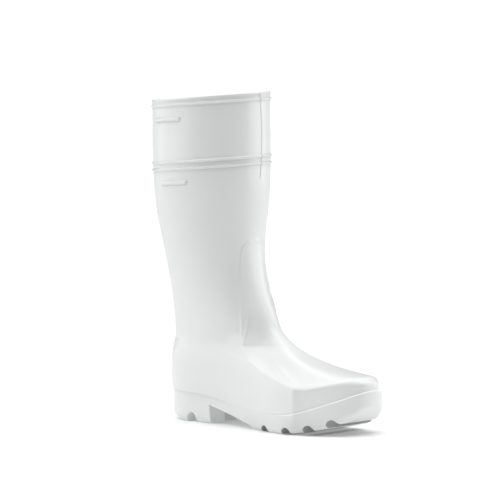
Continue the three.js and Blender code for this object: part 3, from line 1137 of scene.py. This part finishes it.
    def panel(self, flat: np.ndarray, height: np.ndarray) -> np.ndarray:
        """The low panel down the front of the ankle, and the fold inside it.

        Args:
            flat: Angles to either side of the shaft's front, in degrees, rows by columns.
            height: Heights over the floor, of the same shape.

        Returns:
            The height out of the wall in millimetres.
        """
        near = (flat < 75) & (height < 225) & (height > 85)
        edge, fold = np.array(self.panel_edge), np.array(self.panel_fold)
        reach = np.interp(-height, -edge[:, 1], edge[:, 0])
        inside = np.where((flat < reach) & (height < edge[0, 1]), 1.0, -1.0)
        depth = np.where(near, distance_to_path(flat, height, edge) * inside, -9.0)
        crease = np.where(near, distance_to_path(flat, height, fold), 9.0)
        lip = self.panel_lip * (1 + ease(196.0, 206.0, height)) * bead(depth, self.line_width)
        raised = self.panel_proud * ease(-1.2, 1.4, depth) + lip
        return ease(93.5, 98.0, height) * (raised + self.fold_proud * bead(crease, self.line_width))

    def waves(self, angle: np.ndarray, levels: np.ndarray, front: np.ndarray) -> np.ndarray:
        """The wall's faint unevenness, which dies out towards the sole.

        Args:
            angle: The columns' angles round the shaft.
            levels: The rows' levels.
            front: The rows' heights at the front.

        Returns:
            The height out of the wall in millimetres.
        """
        broad = np.sin(2 * angle + front / 23.0 + 0.7) * np.sin(front / 31.0 + 1.1)
        fine = np.sin(5 * angle - front / 17.0) * np.sin(front / 19.0 + angle)
        return ease(0.8, 4.0, levels) * (self.broad_wave * broad + self.fine_wave * fine)

    def fold(self, side: np.ndarray, level: np.ndarray) -> np.ndarray:
        """The crisp fold where the foot's wall turns into the vamp.

        Args:
            side: Angles from the shaft's front, in degrees.
            level: Levels, of the same shape.

        Returns:
            The height out of the wall in millimetres.
        """
        line = np.array(self.shoulder)
        across, along = self.shoulder_scale
        away = distance_to_path(side * across, level * along, line * np.array(self.shoulder_scale))
        back, front = line[0, 0], line[-1, 0]
        shown = ease(front - 2, front + 8, side) * (1 - ease(back - 10, back + 4, side))
        return self.shoulder_height * shown * np.exp(-np.hypot(away, 0.8) / self.shoulder_reach)

    def wall(self, levels: np.ndarray) -> np.ndarray:
        """The wall's thickness at each level."""
        share = np.clip((levels - 3) / 7, 0, 1)
        return self.last.foot_wall + (self.last.shaft_wall - self.last.foot_wall) * share

    def build(self, origin: np.ndarray, material: bpy.types.Material) -> bpy.types.Object:
        """Builds the moulding.

        Args:
            origin: The heel's back in the boot's frame, in millimetres.
            material: Its finish.

        Returns:
            The object.
        """
        last, top = self.last, float(self.last.top)
        q = self.columns(288)
        crease = last.level_at(np.array([93.5]))[0]
        instep = 5.9
        foot = np.concatenate([np.arange(0, instep, 0.155), np.arange(instep, max(crease, 7.9), 0.08)])
        shaft = last.level_at(self.heights())
        levels = np.concatenate([foot, shaft[shaft > foot[-1] + 0.03]])
        plain = last.surface(q, levels)
        out, line = self.relief(q, levels, plain)
        outer = plain + last.normals(q, levels) * out[..., None]
        rim = self.rim(q)
        inner_levels = np.concatenate(
            [np.linspace(top - 0.25, 9, 26), np.arange(8.7, 0.5, -0.3), [0.35]]
        )
        thickness = self.wall(inner_levels)[:, None, None]
        inner = last.surface(q, inner_levels) - last.normals(q, inner_levels) * thickness
        x, y = last.outline(q, last.ring(q)["overhang"] * last.ball_width - last.foot_wall)
        seat = np.stack([x, y, last.height(Base.SEAT, x) + last.gap], -1)[None]
        points = np.concatenate([outer, rim, inner, seat, outer[:1]]) + origin
        mesh = sheet_of(points)
        # The "line" values darken the colour along the pressed seam, and paint shade below the ridges and
        # bars and in the band under the rim.
        paint(mesh, "line", line)
        made = dressed(mesh, "boot_upper", material, 55.0)
        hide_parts("upper")
        return made

    def rim(self, q: np.ndarray) -> np.ndarray:
        """The rounded edge of the collar, from outside to inside.

        Args:
            q: The columns.

        Returns:
            An array of shape rows by columns by 3.
        """
        last = self.last
        end = np.array([float(last.top)])
        edge = last.surface(q, end)[0]
        out = last.normals(q, end)[0]
        up = edge - last.surface(q, end - 0.03)[0]
        up /= np.linalg.norm(up, axis=-1, keepdims=True)
        radius = (last.shaft_wall + self.rim_proud) / 2
        rows = []
        for angle in np.linspace(0, np.pi, 9):
            sideways = self.rim_proud - radius + radius * math.cos(angle)
            lift = -1.5 + 1.5 * math.sin(angle)
            rows.append(edge + out * sideways + up * lift)
        return np.stack(rows)

    def build_lining(self, origin: np.ndarray, material: bpy.types.Material) -> bpy.types.Object:
        """Builds the knitted sock inside the moulding.

        Args:
            origin: The heel's back in the boot's frame, in millimetres.
            material: Its finish.

        Returns:
            The object.
        """
        last = self.last
        q = around(180)
        start = last.level_at(np.array([last.boot_height - 4.0]))[0]
        levels = np.concatenate([np.arange(0.75, 9, 0.3), np.linspace(9, start, 26)])
        depth = (self.wall(levels) + self.lining_gap)[:, None, None]
        out = last.normals(q, levels)
        plain = last.surface(q, levels)
        face = plain - out * depth
        back = plain - out * (depth + self.lining_wall)
        points = np.concatenate([face, back[::-1], face[:1]])
        steps = np.linalg.norm(np.diff(points, axis=0, prepend=points[:1]), axis=-1)
        along = np.cumsum(steps, 0)
        girth = np.linspace(0, self.lining_girth, len(q) + 1)
        mesh = sheet_of(points + origin)
        layer = mesh.loops.layers.uv.new("knit")
        rows, columns = mesh.verts.layers.int["row"], mesh.verts.layers.int["column"]
        for face_made in mesh.faces:
            numbers = [corner.vert[columns] for corner in face_made.loops]
            wraps = max(numbers) - min(numbers) > 1
            for corner in face_made.loops:
                c = corner.vert[columns]
                turn = len(q) if wraps and c == 0 else c
                corner[layer].uv = (girth[turn] * MILLIMETRE, along[corner.vert[rows], c] * MILLIMETRE)
        made = dressed(mesh, "boot_lining", material, None)
        return made


@dataclass(frozen=True)
class Outsole:
    """Heel, arch and forefoot in one moulding, with its lip, grooves and the hollow in the heel."""

    last: Last
    edge_radius: float = 6.0
    lip_radius: float = 2.2
    lip_flush: float = 0.12
    lip_span: tuple[float, float] = (30, 39)
    lip_rows: tuple[int, int] = (20, 24)
    # Where the painted highlight on the lip fades out, in degrees from the front.
    lip_highlight_span: tuple[float, float] = (30, 37)
    columns: int = 240
    low_corner: float = 0.1
    tread_step: float = 4.5
    tread_start: float = 147.0
    breast_top: float = 77.0
    breast_slope: float = 1.5
    groove_width: float = 12.5
    groove_height: float = 7.5
    groove_stations: tuple[float, ...] = (0.588, 0.711, 0.804, 0.893)
    groove_margin: float = 1.04
    heel_groove_width: float = 16.0
    heel_groove_height: float = 11.5
    heel_groove_place: float = 0.62
    channel_width: float = 20.0
    channel_length: float = 30.0
    channel_height: float = 14.0
    bevel: float = 0.55

    def body(self) -> np.ndarray:
        """Rows of the plain sole, from the middle of its underside round its edge to its top's middle.

        Returns:
            An array of shape rows by columns by 3.
        """
        last, edge = self.last, self.edge_radius
        q = around(self.columns)

        def ring(offset: np.ndarray | float, base: Base, rise: np.ndarray | float) -> np.ndarray:
            """One loop, with its height from the ground or the seat."""
            x, y = last.outline(q, offset, self.low_corner if base is Base.GROUND else 1.0)
            return np.stack([x, y, last.height(base, x) + rise], -1)

        rows = []
        for angle in np.linspace(0, np.pi / 2, 7):
            rows.append(ring(-edge * (1 - math.sin(angle)), Base.GROUND, edge * (1 - math.cos(angle))))
        side = np.abs(signed(last.ring(q)["turn"]))
        lip = self.lip_flush + (self.lip_radius - self.lip_flush) * (1 - ease(*self.lip_span, side))
        foot, brow = rows[-1], ring(0, Base.SEAT, -lip)
        rows += [foot + (brow - foot) * share for share in (0.2, 0.4, 0.6, 0.8)]
        for angle in np.linspace(0, np.pi / 2, 5):
            rows.append(ring(-lip * (1 - math.cos(angle)), Base.SEAT, -lip * (1 - math.sin(angle))))
        shares = np.linspace(0, 0.5, 9)[1:]
        under, over = inward(rows[0], shares[::-1]), inward(rows[-1], shares)
        for row, base in [(r, Base.GROUND) for r in under] + [(r, Base.SEAT) for r in over]:
            row[:, 2] = last.height(base, row[:, 0])
        return np.stack(under + rows + over)

    def paint_lip_highlight(self, mesh: bmesh.types.BMesh) -> None:
        """Marks the rounded lip round the toe for a painted highlight.

        Args:
            mesh: The plain sole's grid.
        """
        side = np.abs(signed(self.last.ring(around(self.columns))["turn"]))
        first, end = self.lip_rows
        shown = np.zeros((end, self.columns))
        shown[first:] = 1 - ease(*self.lip_highlight_span, side)
        paint(mesh, "lip", shown)

    def prism(self, corners: tuple[tuple[float, float], ...], width: float) -> bmesh.types.BMesh:
        """A four-sided cutter that runs across the sole.

        Args:
            corners: Its side view: low heelward, low toeward, high toeward and high heelward, as x and z.
            width: Its length across the sole.

        Returns:
            The mesh, in millimetres.
        """
        mesh = bmesh.new()
        bmesh.ops.create_cube(mesh, size=2.0)
        for vertex in mesh.verts:
            index = (0 if vertex.co.x < 0 else 1) if vertex.co.z < 0 else (3 if vertex.co.x < 0 else 2)
            x, z = corners[index]
            vertex.co = Vector((x, vertex.co.y * width / 2, z))
        return mesh

    def groove(self, x: float, width: float, height: float) -> bmesh.types.BMesh:
        """A round-topped cutter that runs across the sole.

        Args:
            x: Where its middle lies along the foot.
            width: Its width along the foot.
            height: How high it cuts.

        Returns:
            The mesh, in millimetres.
        """
        mesh = bmesh.new()
        bmesh.ops.create_cone(
            mesh, cap_ends=True, segments=48, radius1=1.0, radius2=1.0, depth=self.last.ball_width * 2
        )
        turn = Matrix.Rotation(math.pi / 2, 4, "X")
        grow = Matrix.Diagonal((width / 2, 1.0, height, 1.0))
        floor = float(self.last.height(Base.GROUND, np.array([x]))[0])
        bmesh.ops.transform(mesh, matrix=Matrix.Translation((x, 0, floor)) @ grow @ turn, verts=mesh.verts[:])
        return mesh

    def is_cut(self, edge: bmesh.types.BMEdge) -> bool:
        """Whether an edge comes from a cutter and not from the sole's upper rim."""
        return max(v.co.z for v in edge.verts) < (self.last.heel_height + 2.0) * MILLIMETRE

    def grooves(self) -> list[tuple[float, float, float]]:
        """The place, width and height of each groove of the forefoot."""
        length = self.last.sole_length
        return [(share * length, self.groove_width, self.groove_height) for share in self.groove_stations]

    def paint_groove_shade(self, mesh: bmesh.types.BMesh, origin: np.ndarray) -> None:
        """Marks the walls of the forefoot's grooves for painted shade.

        Args:
            mesh: The cut sole, in metres.
            origin: The heel's back in the boot's frame, in millimetres.
        """
        marks = mesh.faces.layers.float.new("groove")
        floors = [float(self.last.height(Base.GROUND, np.array([x]))[0]) for x, _, _ in self.grooves()]
        for face in mesh.faces:
            corners = np.array([vertex.co for vertex in face.verts]) / MILLIMETRE - origin
            for (x, width, height), floor in zip(self.grooves(), floors):
                ahead = (corners[:, 0] - x) / (width / 2)
                above = (corners[:, 2] - floor) / height
                if np.all(ahead**2 + above**2 < self.groove_margin):
                    face[marks] = 1.0

    def cutters(self) -> list[bmesh.types.BMesh]:
        """Everything that is taken out of the plain sole.

        Returns:
            The cutters, in millimetres.
        """
        last, under = self.last, self.edge_radius
        front = self.breast_top + self.breast_slope
        arch = (
            (front + self.breast_slope * under / last.heel_height, -under),
            (self.tread_start + self.tread_step, -under),
            (self.tread_start, self.tread_step),
            (self.breast_top, last.heel_height),
        )
        end = front + under / 3
        channel = (
            (end - self.channel_length, -under),
            (end, -under),
            (end, self.channel_height),
            (end - self.channel_length, self.channel_height),
        )
        made = [self.prism(arch, last.ball_width * 2), self.prism(channel, self.channel_width)]
        heel = (front * self.heel_groove_place, self.heel_groove_width, self.heel_groove_height)
        return made + [self.groove(*sizes) for sizes in [*self.grooves(), heel]]

    def build(self, origin: np.ndarray, material: bpy.types.Material) -> bpy.types.Object:
        """Builds the outsole.

        Args:
            origin: The heel's back in the boot's frame, in millimetres.
            material: Its finish.

        Returns:
            The object.
        """
        mesh = sheet_of(self.body() + origin)
        # Painted highlight: marks the lip round the toe to be lightened.
        self.paint_lip_highlight(mesh)
        bmesh.ops.remove_doubles(mesh, verts=mesh.verts[:], dist=2e-5)
        bmesh.ops.dissolve_degenerate(mesh, edges=mesh.edges[:], dist=1e-6)
        bmesh.ops.recalc_face_normals(mesh, faces=mesh.faces[:])
        block = placed("plain_sole", mesh_data(mesh, "plain_sole"))
        place = Matrix.Translation(Vector(origin) * MILLIMETRE) @ Matrix.Scale(MILLIMETRE, 4)
        helpers = [block]
        for number, cutter in enumerate(self.cutters()):
            bmesh.ops.transform(cutter, matrix=place, verts=cutter.verts[:])
            bmesh.ops.recalc_face_normals(cutter, faces=cutter.faces[:])
            tool = placed(f"cutter_{number}", mesh_data(cutter, f"cutter_{number}"))
            cut = block.modifiers.new(f"cut_{number}", "BOOLEAN")
            cut.operation = "DIFFERENCE"
            cut.solver = "EXACT"
            cut.object = tool
            helpers.append(tool)
        cut_mesh = bmesh.new()
        cut_mesh.from_object(block, bpy.context.evaluated_depsgraph_get())
        for helper in helpers:
            bpy.data.objects.remove(helper, do_unlink=True)
        sharp = [
            e
            for e in cut_mesh.edges
            if len(e.link_faces) == 2 and e.calc_face_angle(0) > math.radians(38) and self.is_cut(e)
        ]
        bmesh.ops.bevel(
            cut_mesh,
            geom=sharp,
            offset=self.bevel * MILLIMETRE,
            offset_type="OFFSET",
            affect="EDGES",
            segments=2,
            profile=0.5,
            material=-1,
            clamp_overlap=True,
        )
        # Painted shade: marks the forefoot's groove walls to be darkened.
        self.paint_groove_shade(cut_mesh, origin)
        made = dressed(cut_mesh, "boot_outsole", material, 40.0)
        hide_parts("outsole")
        return made


@dataclass(frozen=True)
class Insole:
    """The loose felt sole inside the boot."""

    last: Last
    thickness: float = 4.0
    clearance: float = 1.2

    def build(self, origin: np.ndarray, material: bpy.types.Material) -> bpy.types.Object:
        """Builds the insole.

        Args:
            origin: The heel's back in the boot's frame, in millimetres.
            material: Its finish.

        Returns:
            The object.
        """
        last = self.last
        q = around(180)
        inset = last.foot_wall + self.clearance
        overhang = last.ring(q)["overhang"] * last.ball_width

        def ring(extra: float, rise: float) -> np.ndarray:
            """One loop of the edge."""
            x, y = last.outline(q, overhang - inset - extra)
            return np.stack([x, y, last.height(Base.SEAT, x) + last.gap + rise], -1)

        thick = self.thickness
        rows = [ring(0, 0), ring(0, thick * 0.5), ring(0.1 * thick, thick * 0.8), ring(0.3 * thick, thick)]
        shares = np.linspace(0, 0.5, 12)[1:]
        mesh = sheet_of(np.stack(inward(rows[0], shares[::-1]) + rows + inward(rows[-1], shares)) + origin)
        bmesh.ops.remove_doubles(mesh, verts=mesh.verts[:], dist=2e-5)
        bmesh.ops.recalc_face_normals(mesh, faces=mesh.faces[:])
        made = dressed(mesh, "boot_insole", material, 50.0)
        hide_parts("insole")
        return made


# ---------------------------------------------------------------------------------------------------------
# The studio
# ---------------------------------------------------------------------------------------------------------


@dataclass(frozen=True)
class Softbox:
    """A large soft light: where it hangs round the boot, its size in metres and its brightness."""

    name: str
    azimuth: float
    elevation: float
    distance: float
    width: float
    height: float
    radiance: float

    def hang(self, aim: Vector) -> bpy.types.Object:
        """Makes the light and turns it to the boot.

        Args:
            aim: The place that it faces.

        Returns:
            The light.
        """
        light = bpy.data.lights.new(self.name, "AREA")
        light.shape = "RECTANGLE"
        light.size, light.size_y = self.width, self.height
        light.energy = self.radiance * math.pi * self.width * self.height
        lamp = placed(self.name, light)
        lamp.location = aim + direction(self.azimuth, self.elevation) * self.distance
        lamp.rotation_euler = (aim - lamp.location).to_track_quat("-Z", "Y").to_euler()
        lamp.visible_camera = False
        return lamp


def direction(azimuth: float, elevation: float) -> Vector:
    """A unit direction, with azimuth from the lateral side towards the toe, in degrees."""
    a, e = math.radians(azimuth), math.radians(elevation)
    return Vector((math.sin(a) * math.cos(e), -math.cos(a) * math.cos(e), math.sin(e)))


@dataclass(frozen=True)
class Studio:
    """Floor, sky, lights and camera."""

    azimuth: float = 42.0
    elevation: float = 5.5
    distance: float = 6.0
    aim_height: float = 0.19
    lens: float = 375.8
    shift: tuple[float, float] = (-0.033, 0.022)
    horizon: float = 0.31
    overhead: float = 2.36
    overhead_azimuth: float = 45.0
    overhead_elevation: float = 78.0
    overhead_span: tuple[float, float] = (0.42, 0.85)
    flag_azimuth: float = 48.0
    flag_reach: float = 67.0
    flag_share: float = 0.8
    flag_softness: float = 0.06
    softboxes: tuple[Softbox, ...] = (
        Softbox("softbox_heel", -50, 10, 2.4, 3.6, 2.4, 0.95),
        Softbox("softbox_toe", 139, 6, 2.4, 2.8, 2.0, 1.5),
    )

    def light(self) -> None:
        """Makes the sky and hangs the lights."""
        world = bpy.data.worlds.new("studio_sky")
        bpy.context.scene.world = world
        sky = Graph(world, "ShaderNodeOutputWorld")
        place = sky.coordinates(Space.SKY)
        above = sky.facing(place, direction(self.overhead_azimuth, self.overhead_elevation))
        open_sky = self.horizon + above.between(*self.overhead_span) * (self.overhead - self.horizon)
        edge = math.cos(math.radians(self.flag_reach))
        toward = sky.facing(place, direction(self.flag_azimuth, 0))
        flag = toward.between(edge - self.flag_softness, edge + self.flag_softness)
        lit = open_sky * (1 - flag * self.flag_share)
        sky.surface(sky.node("ShaderNodeBackground", None, {"Color": (1.0, 1.0, 1.0, 1.0), "Strength": lit}))
        for box in self.softboxes:
            box.hang(Vector((0, 0, 0.2)))

    def lay_floor(self, material: bpy.types.Material) -> None:
        """Lays the floor out past the frame.

        Args:
            material: Its finish.
        """
        mesh = bmesh.new()
        bmesh.ops.create_grid(mesh, x_segments=40, y_segments=40, size=30.0)
        floor = placed("studio_floor", mesh_data(mesh, "studio_floor"))
        floor.data.materials.append(material)

    def place_camera(self) -> None:
        """Sets the camera at the photograph's angle."""
        data = bpy.data.cameras.new("camera")
        data.lens = self.lens
        data.sensor_width = 36.0
        data.shift_x, data.shift_y = self.shift
        data.clip_end = 100.0
        camera = placed("camera", data)
        aim = Vector((0, 0, self.aim_height))
        camera.location = aim + direction(self.azimuth, self.elevation) * self.distance
        camera.rotation_euler = (aim - camera.location).to_track_quat("-Z", "Y").to_euler()
        bpy.context.scene.camera = camera

    def build(self) -> None:
        """Makes the whole studio."""
        bpy.context.scene.view_settings.view_transform = "Standard"
        self.light()
        self.lay_floor(StudioFloor().make())
        self.place_camera()


def main() -> None:
    """Builds the boot piece by piece, then the studio."""
    logging.basicConfig(level=logging.INFO, format="%(name)s: %(message)s")
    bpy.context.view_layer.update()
    last = Last()
    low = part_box("outsole")[0]
    origin = np.array([low[0] / MILLIMETRE, 0.0, 0.0])
    upper = Upper(last)
    upper.build(origin, GlossyRubber().make())
    upper.build_lining(origin, KnitLining().make())
    Outsole(last).build(origin, TreadRubber().make())
    Insole(last).build(origin, PressedFelt().make())
    Studio().build()


if __name__ == "__main__":
    main()
